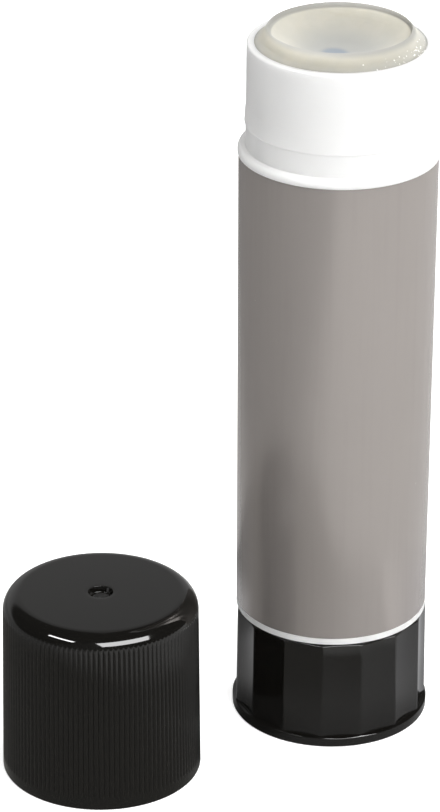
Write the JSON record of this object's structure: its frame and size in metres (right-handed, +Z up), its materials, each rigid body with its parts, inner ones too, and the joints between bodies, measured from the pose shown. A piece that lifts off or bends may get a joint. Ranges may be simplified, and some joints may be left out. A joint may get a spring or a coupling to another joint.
{
  "type": "glue stick",
  "caption": "Twist-up glue stick: wrapped tube on a fluted twist base with a screw-driven glue carrier, and its ribbed push-on cap standing beside it.",
  "frame": {"origin": "on the stick's axis, at the flat underside of the knob, on the surface that it stands on", "axes": "+Z up along the stick; -Y is the side that the picture shows; the cap stands to the front left (-X, -Y)"},
  "size_m": [0.0558, 0.0421, 0.0959],
  "materials": {
    "white_plastic": "smooth white moulded plastic",
    "grey_wrap": "satin grey film",
    "black_plastic": "glossy black moulded plastic",
    "natural_plastic": "uncoloured moulded plastic",
    "glue": "moist translucent cream-grey glue"
  },
  "bodies": {
    "tube": {"barrel": "white_plastic", "label": "grey_wrap"},
    "twist_base": {"knob": "black_plastic", "spindle": "black_plastic"},
    "carrier": {"elevator": "natural_plastic", "glue": "glue"},
    "loose_cap": {"cap": "black_plastic"}
  },
  "joints": [
    {"name": "knob_turn", "type": "hinge", "parent": "tube", "child": "twist_base", "pos_m": [0, 0, 0], "axis": [0, 0, 1], "range_deg": [0, 4320]},
    {"name": "glue_rise", "type": "slide", "parent": "tube", "child": "carrier", "axis": [0, 0, 1], "range_m": [0, 0.06]},
    {"name": "cap_lift", "type": "slide", "parent": "tube", "child": "loose_cap", "axis": [0, 0, 1], "range_m": [0, 0.1]}
  ],
  "couplings": [
    {"joint": "knob_turn", "follows": "glue_rise", "rad_per_m": 1256.6}
  ]
}
